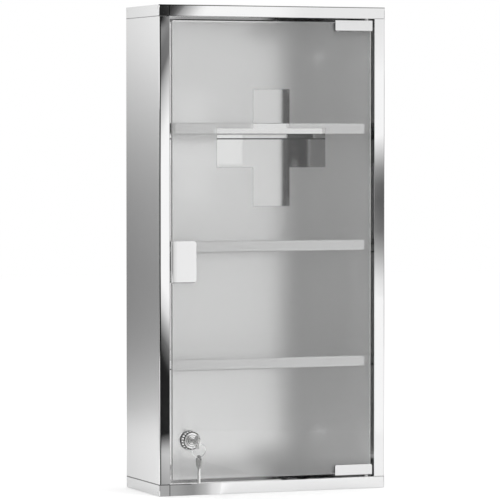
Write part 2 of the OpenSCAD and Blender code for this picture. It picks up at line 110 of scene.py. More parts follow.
def profile(tree, value, stops):
    # a value that runs straight from stop to stop
    total = stops[0][1]
    for (low, before), (high, after) in zip(stops, stops[1:]):
        if after == before:
            continue
        node = tree.nodes.new("ShaderNodeMapRange")
        node.inputs["From Min"].default_value = low
        node.inputs["From Max"].default_value = high
        node.inputs["To Min"].default_value = 0.0
        node.inputs["To Max"].default_value = after - before
        tree.links.new(value, node.inputs["Value"])
        total = mathNode(tree, "ADD", node.outputs["Result"], total)
    return total


def bandMask(tree, value, low, high, soft):
    up = smoothStep(tree, value, low - soft, low + soft)
    down = smoothStep(tree, value, high - soft, high + soft, 1.0, 0.0)
    return mathNode(tree, "MULTIPLY", up, down)


def bandAt(tree, value, middle, reach):
    # a band round a seam or bend, which reaches a little below and above it
    return bandMask(tree, value, middle + reach[0], middle + reach[1], bodyBends["soft"])


def placeOf(tree):
    coords = tree.nodes.new("ShaderNodeTexCoord")
    split = tree.nodes.new("ShaderNodeSeparateXYZ")
    tree.links.new(coords.outputs["Object"], split.inputs[0])
    return coords.outputs["Object"], split.outputs[0], split.outputs[1], split.outputs[2]


def facingOf(tree):
    # which way a face looks, along X, Y and Z
    shape = tree.nodes.new("ShaderNodeNewGeometry")
    split = tree.nodes.new("ShaderNodeSeparateXYZ")
    tree.links.new(shape.outputs["True Normal"], split.inputs[0])
    return split.outputs[0], split.outputs[1], split.outputs[2]


def allOf(tree, *parts):
    total = parts[0]
    for part in parts[1:]:
        total = mathNode(tree, "MULTIPLY", total, part)
    return total


def inverted(tree, mask):
    return mathNode(tree, "SUBTRACT", 1.0, mask)


def dimmed(tree, level, where, share):
    # the level, with only a share of it left where the mask is 1
    change = mathNode(tree, "MULTIPLY_ADD", where, mathNode(tree, "SUBTRACT", share, 1.0), 1.0)
    return mathNode(tree, "MULTIPLY", level, change)


def tintBy(tree, shader, tint, level):
    # the base colour is the tint times the level
    colour = tree.nodes.new("ShaderNodeVectorMath")
    colour.operation = "SCALE"
    colour.inputs[0].default_value = tint[:3]
    tree.links.new(level, colour.inputs["Scale"])
    tree.links.new(colour.outputs[0], shader.inputs["Base Color"])


def addGlow(tree, shader, strength):
    shader.inputs["Emission Color"].default_value = (1, 1, 1, 1)
    tree.links.new(strength, shader.inputs["Emission Strength"])


def addGroup(tree, group, **values):
    node = tree.nodes.new("ShaderNodeGroup")
    node.node_tree = group
    for name, value in values.items():
        socket = node.inputs[name]
        if isinstance(value, (int, float)):
            socket.default_value = value
        else:
            tree.links.new(value, socket)
    return node


def bumpNormal(tree, height, distance, strength=1.0, normal=None):
    node = tree.nodes.new("ShaderNodeBump")
    node.inputs["Strength"].default_value = strength
    node.inputs["Distance"].default_value = distance
    tree.links.new(height, node.inputs["Height"])
    if normal is not None:
        tree.links.new(normal, node.inputs["Normal"])
    return node.outputs["Normal"]


def leanNormal(tree, left, up=0.0, back=0.0):
    # the surface normal, leaned towards -X, +Z and +Y
    shape = tree.nodes.new("ShaderNodeNewGeometry")
    push = tree.nodes.new("ShaderNodeCombineXYZ")
    tree.links.new(mathNode(tree, "MULTIPLY", left, -1.0), push.inputs[0])
    for socket, value in ((push.inputs[1], back), (push.inputs[2], up)):
        if isinstance(value, float):
            socket.default_value = value
        else:
            tree.links.new(value, socket)
    added = tree.nodes.new("ShaderNodeVectorMath")
    added.operation = "ADD"
    tree.links.new(shape.outputs["Normal"], added.inputs[0])
    tree.links.new(push.outputs[0], added.inputs[1])
    unit = tree.nodes.new("ShaderNodeVectorMath")
    unit.operation = "NORMALIZE"
    tree.links.new(added.outputs[0], unit.inputs[0])
    return unit.outputs[0]


def newGroup(name, inputs, outputs):
    group = bpy.data.node_groups.new(name, "ShaderNodeTree")
    for socketName, kind, value in inputs:
        socket = group.interface.new_socket(socketName, in_out="INPUT", socket_type=kind)
        if value is not None:
            socket.default_value = value
    for socketName, kind in outputs:
        group.interface.new_socket(socketName, in_out="OUTPUT", socket_type=kind)
    start = group.nodes.new("NodeGroupInput")
    end = group.nodes.new("NodeGroupOutput")
    return group, start, end


def makeGrainGroup():
    # fine drawn lines of a rolled and brushed sheet, long in one direction
    group, start, end = newGroup("sheetGrain", [
        ("Place", "NodeSocketVector", None), ("Across", "NodeSocketFloat", 2600.0),
        ("Along", "NodeSocketFloat", 14.0), ("Amount", "NodeSocketFloat", 0.3),
        ("Base", "NodeSocketFloat", 0.2)],
        [("Value", "NodeSocketFloat"), ("Height", "NodeSocketFloat")])
    stretch = group.nodes.new("ShaderNodeCombineXYZ")
    group.links.new(start.outputs["Across"], stretch.inputs[0])
    group.links.new(start.outputs["Across"], stretch.inputs[1])
    group.links.new(start.outputs["Along"], stretch.inputs[2])
    scaled = group.nodes.new("ShaderNodeVectorMath")
    scaled.operation = "MULTIPLY"
    group.links.new(start.outputs["Place"], scaled.inputs[0])
    group.links.new(stretch.outputs[0], scaled.inputs[1])
    noise = group.nodes.new("ShaderNodeTexNoise")
    noise.inputs["Scale"].default_value = 1.0
    noise.inputs["Detail"].default_value = 3.0
    group.links.new(scaled.outputs[0], noise.inputs["Vector"])
    centred = mathNode(group, "SUBTRACT", noise.outputs["Fac"], 0.5)
    swing = mathNode(group, "MULTIPLY", centred, start.outputs["Amount"])
    value = mathNode(group, "ADD", swing, start.outputs["Base"], clamp=True)
    group.links.new(value, end.inputs["Value"])
    group.links.new(noise.outputs["Fac"], end.inputs["Height"])
    return group


def makeHandledGroup():
    # soft cloudy marks left by handling and wiping
    group, start, end = newGroup("wipeMarks", [
        ("Place", "NodeSocketVector", None), ("Size", "NodeSocketFloat", 18.0),
        ("Low", "NodeSocketFloat", 0.0), ("High", "NodeSocketFloat", 1.0)],
        [("Value", "NodeSocketFloat")])
    broad = group.nodes.new("ShaderNodeTexNoise")
    broad.inputs["Detail"].default_value = 5.0
    broad.inputs["Roughness"].default_value = 0.62
    broad.inputs["Distortion"].default_value = 0.8
    group.links.new(start.outputs["Place"], broad.inputs["Vector"])
    group.links.new(start.outputs["Size"], broad.inputs["Scale"])
    spread = group.nodes.new("ShaderNodeMapRange")
    spread.inputs["From Min"].default_value = 0.3
    spread.inputs["From Max"].default_value = 0.7
    group.links.new(broad.outputs["Fac"], spread.inputs["Value"])
    group.links.new(start.outputs["Low"], spread.inputs["To Min"])
    group.links.new(start.outputs["High"], spread.inputs["To Max"])
    group.links.new(spread.outputs["Result"], end.inputs["Value"])
    return group


grainGroup = makeGrainGroup()
handledGroup = makeHandledGroup()


# ---- polished sheet of the body

bodySheet = {
    "tint": (0.95, 0.95, 0.952),
    "outer": (0.82, 1.08, 0.93),   # painted shade: share of the tint left on the outer sides, and its front and back ends, darker towards the back
    "polished": 0.05,      # roughness of the front of the frame
    "brushed": 0.2,        # roughness of the outer sides
    # how far thin sheet leans towards -X, as a slope, along each part of the frame
    "leftTop": [(0.43, 0.0), (0.45, 0.021), (0.466, 0.028), (0.506, 0.079), (0.526, 0.113),
                (0.546, 0.159), (0.57, 0.156), (0.59, 0.142)],
    "leftLow": [(0.014, 0.119), (0.051, 0.088), (0.0575, 0.101), (0.0705, 0.164), (0.078, 0.19),
                (0.16, 0.195), (0.2, 0.162), (0.219, 0.117), (0.239, 0.056), (0.28, 0.0)],
    "leftEdge": [(0.0, 0.2), (0.12, 0.2), (0.19, 0.0)],
    # the pattern falls across the left jamb: by this much at the top, and by a drop that grows from the
    # first height to the second lower down. At the top corner it leans more, from height to height
    "topSlant": 0.038,
    "lowSlant": (0.1, 0.15, 0.0, 0.022),
    "topCorner": (0.568, 0.585, 0.0, 0.06),
    "right": [(0.16, 0.0), (0.241, -0.186), (0.261, -0.202), (0.301, -0.26), (0.321, -0.281),
              (0.36, -0.291), (0.38, -0.285), (0.4, -0.264), (0.44, -0.18), (0.51, 0.0)],
    "topStrip": [(-0.003, 0.184), (0.0075, 0.187), (0.0155, 0.179), (0.0205, 0.165), (0.0235, 0.144),
                 (0.0465, 0.066), (0.06, 0.05), (0.085, 0.0)],
    "stripSlant": 0.93,    # sideways shift of the pattern on the top strip, for each metre up
    "footStrip": [(0.0035, 0.114), (0.022, 0.134), (0.0375, 0.158), (0.045, 0.163), (0.061, 0.138),
                  (0.069, 0.104), (0.079, 0.09), (0.095, 0.0)],
    # and towards +Z near the foot
    "jambTip": [(0.03, 0.09), (0.05, 0.06), (0.07, 0.04), (0.09, 0.0)],
    "footTip": [(0.07, 0.09), (0.095, 0.0)],
    "innerRight": -0.06,   # the right wall leans towards the door
    "cornerUp": 0.14,      # the side turns up in the bend at the left corner
    "cornerShade": [(0.045, 1.0), (0.065, 0.3), (0.38, 0.35), (0.52, 1.0)],   # and the painted shade in that bend, as a share of the light along Z
    # painted shade: share of the light left where sheet bends or meets: along the top edge by x, at the
    # right edge, on the return beside the hinge gap, and at the seams between caps and sides
    "topBend": [(-0.15, 0.03), (-0.06, 0.12), (0.0, 0.25), (0.15, 0.32)],
    "rightBend": 0.75,
    "returnFace": 0.3,
    "seamTop": 0.3,
    "seamFoot": 0.05,
    "seamFront": [(-0.15, 0.1), (0.1, 0.1), (0.13, 0.68)],
    "stripEdge": [(-0.06, 0.22), (0.0, 0.7), (0.03, 1.0)],    # painted shade along the lower edge of the top strip
    "insideCaps": [(0.0, 1.0), (0.03, 0.4)],                  # painted shade inside the channels of the two caps
    "jambBendHighlight": 0.36,   # painted highlight in the bend of the left jamb, beside the door
    "leanMost": 0.34,       # the left jamb never leans further than this
    "jambBendShade": 0.05,     # painted shade: share of the mirrored light left in that bend
}

# how far each bend and seam reaches, in metres
bodyBends = {
    "skin": 0.0004,              # the outer faces
    "frontFace": 0.0006,
    "cornerDepth": 0.0009,       # the bend at the left corner, from the front
    "topEdge": 0.0011,
    "rightEdge": 0.0012,
    "jambEdge": (-0.0006, 0.0002),       # round the inner edge of the left jamb
    "returnFace": (-0.0002, 0.001),      # the return of the right jamb
    "returnFrom": 0.001,
    "footSeam": (-0.0007, 0.0006),
    "topSeam": (-0.0005, 0.0005),
    "seamDepth": 0.0022,
    "footSeamEnd": -0.108,       # the foot seam shows up to here, along X
    "channel": (0.0006, 0.0003),         # the inside of a cap, from its outer and its inner face
    "channelFrom": 0.0007,
    "innerWall": (0.0018, 0.0004),       # the inner face of the right side
    "innerWallFrom": 0.002,
    "soft": 0.0001,              # half width of the fade at an edge
}


def leftJambLean(tree, x, z):
    # the pattern slants: across is 0 at the left edge of the strip and 1 at its right edge
    across = mathNode(tree, "DIVIDE", mathNode(tree, "ADD", x, halfWidth), jambWidth)
    drop = bodySheet["topSlant"]
    topAt = mathNode(tree, "MULTIPLY_ADD", across, -drop, mathNode(tree, "ADD", z, drop))
    corner = mathNode(tree, "MULTIPLY", smoothStep(tree, z, *bodySheet["topCorner"]),
                      inverted(tree, across))
    slant = smoothStep(tree, z, *bodySheet["lowSlant"])
    lowAt = mathNode(tree, "MULTIPLY_ADD", across, slant, z)
    total = mathNode(tree, "ADD", mathNode(tree, "ADD", profile(tree, topAt, bodySheet["leftTop"]), corner),
                     mathNode(tree, "ADD", profile(tree, lowAt, bodySheet["leftLow"]),
                              profile(tree, across, bodySheet["leftEdge"])))
    total = mathNode(tree, "MINIMUM", total, bodySheet["leanMost"])
    return allOf(tree, total, mathNode(tree, "LESS_THAN", x, -halfWidth + jambWidth))


def rightJambLean(tree, x, z):
    return allOf(tree, profile(tree, z, bodySheet["right"]),
                 mathNode(tree, "GREATER_THAN", x, halfWidth - jambWidth))


def makeBodySheet():
    mat, tree, shader = newMaterial("bodySheet")
    place, x, y, z = placeOf(tree)
    shader.inputs["Metallic"].default_value = 1.0
    bends, soft = bodyBends, bodyBends["soft"]
    sideways = mathNode(tree, "ABSOLUTE", x)
    outer = mathNode(tree, "GREATER_THAN", sideways, halfWidth - bends["skin"])
    # painted shade: the outer sides keep only a share of the tint, lighter at the front end than at the
    # back end
    share, frontShare, backShare = bodySheet["outer"]
    along = profile(tree, y, [(frontY, share * frontShare), (backY, share * backShare)])
    level = dimmed(tree, 1.0, outer, along)
    # painted shade in the bend at the left front corner, by height
    cornerBend = allOf(tree, mathNode(tree, "LESS_THAN", x, -halfWidth + bends["skin"]),
                       mathNode(tree, "LESS_THAN", y, frontY + bends["cornerDepth"]))
    level = dimmed(tree, level, cornerBend, profile(tree, z, bodySheet["cornerShade"]))
    front = mathNode(tree, "LESS_THAN", y, frontY + bends["frontFace"])
    # painted shade along the bends at the top and right edges of the front
    topEdge = allOf(tree, front, mathNode(tree, "GREATER_THAN", z, bodyHeight - bends["topEdge"]))
    level = dimmed(tree, level, topEdge, profile(tree, x, bodySheet["topBend"]))
    rightEdge = allOf(tree, front, mathNode(tree, "GREATER_THAN", x, halfWidth - bends["rightEdge"]))
    level = dimmed(tree, level, rightEdge, bodySheet["rightBend"])
    # painted shade in the bend round the inner edge of the left jamb
    jambBend = allOf(tree, front, bandAt(tree, x, -halfWidth + jambWidth, bends["jambEdge"]))
    level = dimmed(tree, level, jambBend, bodySheet["jambBendShade"])
    # painted shade on the return of the right jamb, beside the hinge gap
    inReturn = allOf(tree, bandAt(tree, x, halfWidth - jambWidth, bends["returnFace"]),
                     mathNode(tree, "GREATER_THAN", y, frontY + bends["returnFrom"]))
    level = dimmed(tree, level, inReturn, bodySheet["returnFace"])
    # painted shade in the seams between caps and sides, and along the lower edge of the top strip
    footSeam = bandAt(tree, z, jambWidth, bends["footSeam"])
    topSeam = bandAt(tree, z, bodyHeight - jambWidth, bends["topSeam"])
    level = dimmed(tree, level, allOf(tree, footSeam, outer), bodySheet["seamFoot"])
    level = dimmed(tree, level, allOf(tree, topSeam, outer), bodySheet["seamTop"])
    besideOpening = mathNode(tree, "GREATER_THAN", sideways, halfWidth - jambWidth)
    atFoot = mathNode(tree, "MAXIMUM", besideOpening, mathNode(tree, "LESS_THAN", x, bends["footSeamEnd"]))
    seams = mathNode(tree, "MAXIMUM", allOf(tree, footSeam, atFoot), allOf(tree, topSeam, besideOpening))
    inBend = mathNode(tree, "LESS_THAN", y, frontY + bends["seamDepth"])
    level = dimmed(tree, level, allOf(tree, seams, inBend), profile(tree, x, bodySheet["seamFront"]))
    overGap = allOf(tree, topSeam, inverted(tree, besideOpening))
    level = dimmed(tree, level, overGap, profile(tree, x, bodySheet["stripEdge"]))
    # painted shade inside the channels of the two caps, darker towards the right
    wall, mouth = bends["channel"]
    inCaps = mathNode(tree, "MAXIMUM", bandMask(tree, z, wall, jambWidth - mouth, soft),
                      bandMask(tree, z, bodyHeight - jambWidth + mouth, bodyHeight - wall, soft))
    inCaps = allOf(tree, inCaps, mathNode(tree, "GREATER_THAN", y, frontY + bends["channelFrom"]),
                   inverted(tree, outer))
    level = dimmed(tree, level, inCaps, profile(tree, x, bodySheet["insideCaps"]))
    tintBy(tree, shader, bodySheet["tint"], level)
    base = smoothStep(tree, outer, 0.0, 1.0, bodySheet["polished"], bodySheet["brushed"])
    marks = addGroup(tree, handledGroup, Place=place, Size=9.0, Low=-0.01, High=0.02)
    grain = addGroup(tree, grainGroup, Place=place, Amount=0.035, Base=base)
    rough = mathNode(tree, "ADD", grain.outputs["Value"], marks.outputs["Value"], clamp=True)
    tree.links.new(rough, shader.inputs["Roughness"])

    jambs = mathNode(tree, "ADD", leftJambLean(tree, x, z), rightJambLean(tree, x, z))
    onFoot = mathNode(tree, "LESS_THAN", z, jambWidth)
    onCap = mathNode(tree, "GREATER_THAN", z, bodyHeight - jambWidth)
    onJamb = mathNode(tree, "SUBTRACT", inverted(tree, onFoot), onCap)
    # painted highlight: a glow in the bend of the left jamb
    addGlow(tree, shader, allOf(tree, jambBend, onJamb, bodySheet["jambBendHighlight"]))
    fromLeft = mathNode(tree, "ADD", x, halfWidth)   # distance from the left corner
    capRise = mathNode(tree, "MULTIPLY", mathNode(tree, "SUBTRACT", z, bodyHeight - jambWidth),
                       bodySheet["stripSlant"])
    capAt = mathNode(tree, "SUBTRACT", fromLeft, capRise)
    strips = mathNode(tree, "ADD", allOf(tree, profile(tree, capAt, bodySheet["topStrip"]), onCap),
                      allOf(tree, profile(tree, fromLeft, bodySheet["footStrip"]), onFoot))
    lean = mathNode(tree, "ADD", allOf(tree, jambs, onJamb), strips)
    jambTip = allOf(tree, profile(tree, z, bodySheet["jambTip"]), onJamb,
                    mathNode(tree, "LESS_THAN", x, -halfWidth + jambWidth))
    tip = mathNode(tree, "ADD", jambTip, allOf(tree, profile(tree, fromLeft, bodySheet["footTip"]), onFoot))
    tip = mathNode(tree, "MULTIPLY_ADD", cornerBend, bodySheet["cornerUp"], allOf(tree, tip, front))
    far, near = bends["innerWall"]
    innerRight = allOf(tree, bandMask(tree, x, halfWidth - far, halfWidth - near, soft),
                       mathNode(tree, "GREATER_THAN", y, frontY + bends["innerWallFrom"]))
    normal = leanNormal(tree, allOf(tree, lean, front), tip,
                        mathNode(tree, "MULTIPLY", innerRight, bodySheet["innerRight"]))
    tree.links.new(bumpNormal(tree, grain.outputs["Height"], 0.0000025, 1.0, normal),
                   shader.inputs["Normal"])
    return mat


# ---- inside of the cabinet: bright rolled sheet

innerSheet = {
    "tint": (0.82, 0.82, 0.82, 1),
    "rough": 0.08,
    "insideFrom": 0.0013,   # the side of the panel that faces the door, from the rear
    # the welded panel isn't quite parallel to the door: how far it leans towards -X, along X
    "lean": [(-0.02, -0.076), (0.005, -0.078), (0.05, -0.097), (0.1, -0.1)],
    # painted light: a glow for light caught between panel and caps, seen through the gaps above and below
    # the door
    "gapGlow": 0.28,
    "footGlow": 0.17,
    "gapTop": 0.5866,
    "gapFoot": 0.0125,
    "gapFade": [(0.03, 1.0), (0.05, 0.0)],
    # painted light on the foot of the panel, by height and along X
    "lowGlow": [(0.006, 0.0), (0.009, 0.2), (0.018, 0.2), (0.027, 0.0)],
    "lowFade": [(0.02, 1.0), (0.05, 0.0)],
}


def makeBackSheet():
    mat, tree, shader = newMaterial("backSheet")
    place, x, y, z = placeOf(tree)
    shader.inputs["Base Color"].default_value = innerSheet["tint"]
    shader.inputs["Metallic"].default_value = 1.0
    grain = addGroup(tree, grainGroup, Place=place, Amount=0.03, Base=innerSheet["rough"])
    tree.links.new(grain.outputs["Value"], shader.inputs["Roughness"])
    inside = mathNode(tree, "LESS_THAN", y, backY - innerSheet["insideFrom"])
    lean = mathNode(tree, "MULTIPLY", inside, profile(tree, x, innerSheet["lean"]))
    tree.links.new(leanNormal(tree, lean), shader.inputs["Normal"])
    # painted light: the panel glows behind the gaps above and below the door, and at its foot
    atTop = allOf(tree, mathNode(tree, "GREATER_THAN", z, innerSheet["gapTop"]), innerSheet["gapGlow"])
    atFoot = allOf(tree, mathNode(tree, "LESS_THAN", z, innerSheet["gapFoot"]), innerSheet["footGlow"])
    inGaps = allOf(tree, mathNode(tree, "ADD", atTop, atFoot), inside,
                   profile(tree, x, innerSheet["gapFade"]))
    lowDown = allOf(tree, inside, profile(tree, z, innerSheet["lowGlow"]),
                    profile(tree, x, innerSheet["lowFade"]))
    addGlow(tree, shader, mathNode(tree, "ADD", inGaps, lowDown))
    return mat


shelfSheet = {
    "tint": (0.86, 0.86, 0.86),
    "rough": 0.07,
    "lip": 0.014,        # height of the front lip
    "lipShare": 0.86,    # painted shade: share of the light left on it
    "line": 0.0008,      # half width of the dark line of painted shade in each bend of the lip
    "rearLine": 0.0016,  # and along the rear flange
    "lineShare": 0.02,   # painted shade: share of the light left in it
    "topShare": 0.4,     # and painted shade in the upper bend of the lip
    "lipDepth": 0.013,   # the lip lies this near to the front of the frame
    "rearLean": -0.08,   # the rear flange lies against the leaning back panel
    "grainTurn": (0.005, 1, 190),   # stretches the grain along X instead of Z
}


def makeShelfSheet():
    mat, tree, shader = newMaterial("shelfSheet")
    place, x, y, z = placeOf(tree)
    shader.inputs["Metallic"].default_value = 1.0
    line, rearLine = shelfSheet["line"], shelfSheet["rearLine"]
    atRear = mathNode(tree, "GREATER_THAN", y, 0.0)
    atLip = inverted(tree, atRear)
    # painted shade on the front lip, and dark lines of painted shade in its bends and along the rear flange
    level = dimmed(tree, 1.0, mathNode(tree, "LESS_THAN", y, frontY + shelfSheet["lipDepth"]),
                   shelfSheet["lipShare"])
    for name in ("shelf_top", "shelf_middle", "shelf_bottom"):
        low, high = (corner.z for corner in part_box(name))
        foot = high - shelfSheet["lip"]
        for side, middle, reach, share in ((atRear, low, (-line, rearLine), shelfSheet["lineShare"]),
                                           (atLip, foot, (-line, line), shelfSheet["lineShare"]),
                                           (atLip, high, (-line, line), shelfSheet["topShare"])):
            level = dimmed(tree, level, allOf(tree, side, bandAt(tree, z, middle, reach)), share)
    tintBy(tree, shader, shelfSheet["tint"], level)
    turned = tree.nodes.new("ShaderNodeVectorMath")   # the grain of a shelf runs along X
    turned.operation = "MULTIPLY"
    turned.inputs[1].default_value = shelfSheet["grainTurn"]
    tree.links.new(place, turned.inputs[0])
    grain = addGroup(tree, grainGroup, Place=turned.outputs[0], Amount=0.05, Base=shelfSheet["rough"])
    tree.links.new(grain.outputs["Value"], shader.inputs["Roughness"])
    normal = leanNormal(tree, mathNode(tree, "MULTIPLY", atRear, shelfSheet["rearLean"]))
    tree.links.new(bumpNormal(tree, grain.outputs["Height"], 0.000002, 1.0, normal),
                   shader.inputs["Normal"])
    return mat


# ---- glass of the door

doorGlass = {
    "tint": (0.985, 0.987, 0.985, 1),
    "ground": 0.55,        # roughness of the edges of the pane
    "edgeTint": 0.22,      # how much of the light passes the ground edges
    "edgeGlow": 0.27,      # painted light on them, standing for daylight that the pane leads to them
    "arris": 0.0018,       # width of the front corner of the left edge, kept free of that painted light so that it stays dark
    "rim": 0.0014,         # width of the painted highlight line beside the top and left edges
    "topRim": [(-0.02, 0.3), (0.03, 0.0)],   # its painted highlight along the top, by x
    "leftRim": 0.08,       # and along the left
    "edge": 0.0003,        # the ground band of each edge
    "faceDepth": 0.0005,   # the front face, from the front
    "ior": 1.5,
}
frost = {"tint": (0.985, 0.985, 0.985, 1), "rough": 0.33, "through": 0.877, "ior": 1.3,
         "crossX": -0.001, "crossZ": 0.4255, "reach": 0.072, "arm": 0.024,
         "grit": 0.04,                 # swing of the roughness
         "line": (0.0003, 0.0007),     # the grey line round the cross, from its edge
         "lineShare": 0.6}


def letLampsThrough(tree, shader):
    # a shadow or diffuse ray passes straight on, so the lamps light what is behind
    path = tree.nodes.new("ShaderNodeLightPath")
    passes = mathNode(tree, "MAXIMUM", path.outputs["Is Shadow Ray"], path.outputs["Is Diffuse Ray"])
    clear = tree.nodes.new("ShaderNodeBsdfTransparent")
    clear.inputs["Color"].default_value = doorGlass["tint"]
    mix = tree.nodes.new("ShaderNodeMixShader")
    tree.links.new(passes, mix.inputs["Fac"])
    tree.links.new(shader.outputs["BSDF"], mix.inputs[1])
    tree.links.new(clear.outputs[0], mix.inputs[2])
    tree.links.new(mix.outputs[0], tree.nodes["Material Output"].inputs["Surface"])


def makeGlass():
    mat, tree, shader = newMaterial("doorGlass")
    place, x, y, z = placeOf(tree)
    letLampsThrough(tree, shader)
    shader.inputs["Transmission Weight"].default_value = 1.0
    shader.inputs["IOR"].default_value = doorGlass["ior"]
    marks = addGroup(tree, handledGroup, Place=place, Size=14.0, Low=0.0, High=0.012)
    # the edges of the pane are ground
    band, soft = doorGlass["edge"], bodyBends["soft"]
    inPane = allOf(tree, bandMask(tree, x, glassLow.x + band, glassHigh.x - band, soft),
                   bandMask(tree, z, glassLow.z + band, glassHigh.z - band, soft))
    edge = smoothStep(tree, inPane, 0.0, 1.0, doorGlass["ground"], 0.0)
    arris = allOf(tree, mathNode(tree, "LESS_THAN", y, glassLow.y + doorGlass["arris"]),
                  mathNode(tree, "LESS_THAN", x, 0.0))
    onEdge = inverted(tree, inPane)
    tintBy(tree, shader, doorGlass["tint"], dimmed(tree, 1.0, onEdge, doorGlass["edgeTint"]))
    # painted light: the ground edges glow, all but the dark front corner of the left edge
    glow = allOf(tree, onEdge, inverted(tree, arris), doorGlass["edgeGlow"])
    # painted highlight lines on the front, beside the top and left edges
    onFace = mathNode(tree, "LESS_THAN", y, glassLow.y + doorGlass["faceDepth"])
    topRim = allOf(tree, mathNode(tree, "GREATER_THAN", z, glassHigh.z - doorGlass["rim"]),
                   profile(tree, x, doorGlass["topRim"]))
    leftRim = allOf(tree, inPane, mathNode(tree, "LESS_THAN", x, glassLow.x + doorGlass["rim"]),
                    doorGlass["leftRim"])
    rims = allOf(tree, onFace, mathNode(tree, "MAXIMUM", topRim, leftRim))
    addGlow(tree, shader, mathNode(tree, "ADD", glow, rims))
    tree.links.new(mathNode(tree, "ADD", marks.outputs["Value"], edge), shader.inputs["Roughness"])
    return mat


def makeFrost():
    mat, tree, shader = newMaterial("frostedFilm")
    place, x, y, z = placeOf(tree)
    shader.inputs["Transmission Weight"].default_value = frost["through"]
    shader.inputs["IOR"].default_value = frost["ior"]
    grit = tree.nodes.new("ShaderNodeTexNoise")
    grit.inputs["Scale"].default_value = 2200
    grit.inputs["Detail"].default_value = 2
    tree.links.new(place, grit.inputs["Vector"])
    rough = mathNode(tree, "ADD", mathNode(tree, "MULTIPLY", grit.outputs["Fac"], frost["grit"]),
                     frost["rough"] - frost["grit"] / 2)
    tree.links.new(rough, shader.inputs["Roughness"])
    tree.links.new(bumpNormal(tree, grit.outputs["Fac"], 0.000004), shader.inputs["Normal"])
    fromX = mathNode(tree, "ABSOLUTE", mathNode(tree, "SUBTRACT", x, frost["crossX"]))
    fromZ = mathNode(tree, "ABSOLUTE", mathNode(tree, "SUBTRACT", z, frost["crossZ"]))
    wide = mathNode(tree, "MAXIMUM", mathNode(tree, "SUBTRACT", fromX, frost["reach"]),
                    mathNode(tree, "SUBTRACT", fromZ, frost["arm"]))
    tall = mathNode(tree, "MAXIMUM", mathNode(tree, "SUBTRACT", fromX, frost["arm"]),
                    mathNode(tree, "SUBTRACT", fromZ, frost["reach"]))
    outline = smoothStep(tree, mathNode(tree, "MINIMUM", wide, tall), *frost["line"],
                         frost["lineShare"], 1.0)
    tintBy(tree, shader, frost["tint"], outline)
    return mat


# ---- clips, lock, keys and small parts

clip = {
    "tint": (0.87, 0.87, 0.872),
    "rough": 0.16,
    "sideShade": 0.06,    # painted shade: share of the light on faces turned to -X
    "underShade": 0.4,    # and painted shade on faces turned down
    "edgeShare": 0.3,     # and painted shade along the lower edge of the front
    "turned": (-0.85, -0.5),      # a face counts as turned to a side from here
    "edge": (0.001, 0.0008),      # reach of that lower edge, down and up
    "edgeSoft": 0.0002,
    "handleBend": (-0.5, -0.2),   # faces of the handle clip that turn to -X
    # painted light on the side of the handle clip from front to back, then the painted shade left across
    # its front
    "handleSideLight": [(-0.0575, 0.43), (-0.0562, 0.0)],
    "handleFront": [(-0.1337, 0.4), (-0.133, 0.42), (-0.1318, 0.68), (-0.1295, 0.88), (-0.126, 1.0)],
}


smallMetal = {"across": 1800.0, "along": 60.0, "markSize": 160.0, "grainHeight": 0.000003}

# painted light on the front of the spare key's blade: how far its faces turn from the front, and the
# height of the bow, which stays without it
spareBlade = {"turned": (-0.8, -0.3), "bow": 0.016}


def brushSurface(tree, shader, place, rough, grainAmount, markHigh):
    # the finely brushed and handled surface of small metal parts
    grain = addGroup(tree, grainGroup, Place=place, Across=smallMetal["across"],
                     Along=smallMetal["along"], Amount=grainAmount, Base=rough)
    marks = addGroup(tree, handledGroup, Place=place, Size=smallMetal["markSize"], Low=0.0,
                     High=markHigh)
    total = mathNode(tree, "ADD", grain.outputs["Value"], marks.outputs["Value"], clamp=True)
    tree.links.new(total, shader.inputs["Roughness"])
    tree.links.new(bumpNormal(tree, grain.outputs["Height"], smallMetal["grainHeight"]),
                   shader.inputs["Normal"])


def makeClip(name, pieces, handle):
    mat, tree, shader = newMaterial(name)
    place, x, y, z = placeOf(tree)
    shader.inputs["Metallic"].default_value = 1.0
    facingX, facingY, facingZ = facingOf(tree)
    # painted shade on faces turned to -X and down, and along the lower edge of each front
    toSide = smoothStep(tree, facingX, *clip["turned"], 1.0, 0.0)
    down = smoothStep(tree, facingZ, *clip["turned"], 1.0, 0.0)
    level = dimmed(tree, dimmed(tree, 1.0, toSide, clip["sideShade"]), down, clip["underShade"])
    lowEdges = [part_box(piece)[0].z for piece in pieces]
    below, above = clip["edge"]
    ahead = mathNode(tree, "LESS_THAN", facingY, -0.5)
    offEdges = allOf(tree, ahead, *(
        inverted(tree, bandMask(tree, z, low - below, low + above, clip["edgeSoft"])) for low in lowEdges))
    level = dimmed(tree, level, mathNode(tree, "SUBTRACT", ahead, offEdges), clip["edgeShare"])
    if handle:
        # painted shade across the front of the handle clip, and painted light on its side
        level = dimmed(tree, level, ahead, profile(tree, x, clip["handleFront"]))
        bend = smoothStep(tree, facingX, *clip["handleBend"], 1.0, 0.0)
        addGlow(tree, shader, allOf(tree, bend, profile(tree, y, clip["handleSideLight"])))
    tintBy(tree, shader, clip["tint"], level)
    brushSurface(tree, shader, place, clip["rough"], 0.04, 0.03)
    return mat


def makeMetal(name, tint, rough, grainAmount=0.05, markHigh=0.05, paintedFrontLight=0.0):
    mat, tree, shader = newMaterial(name)
    place, x, y, z = placeOf(tree)
    shader.inputs["Base Color"].default_value = tint
    shader.inputs["Metallic"].default_value = 1.0
    brushSurface(tree, shader, place, rough, grainAmount, markHigh)
    # painted light on the front faces of the spare key's blade
    if paintedFrontLight:
        ahead = smoothStep(tree, facingOf(tree)[1], *spareBlade["turned"], paintedFrontLight, 0.0)
        blade = mathNode(tree, "LESS_THAN", z, spareHigh.z - spareBlade["bow"])
        addGlow(tree, shader, allOf(tree, blade, ahead))
    return mat


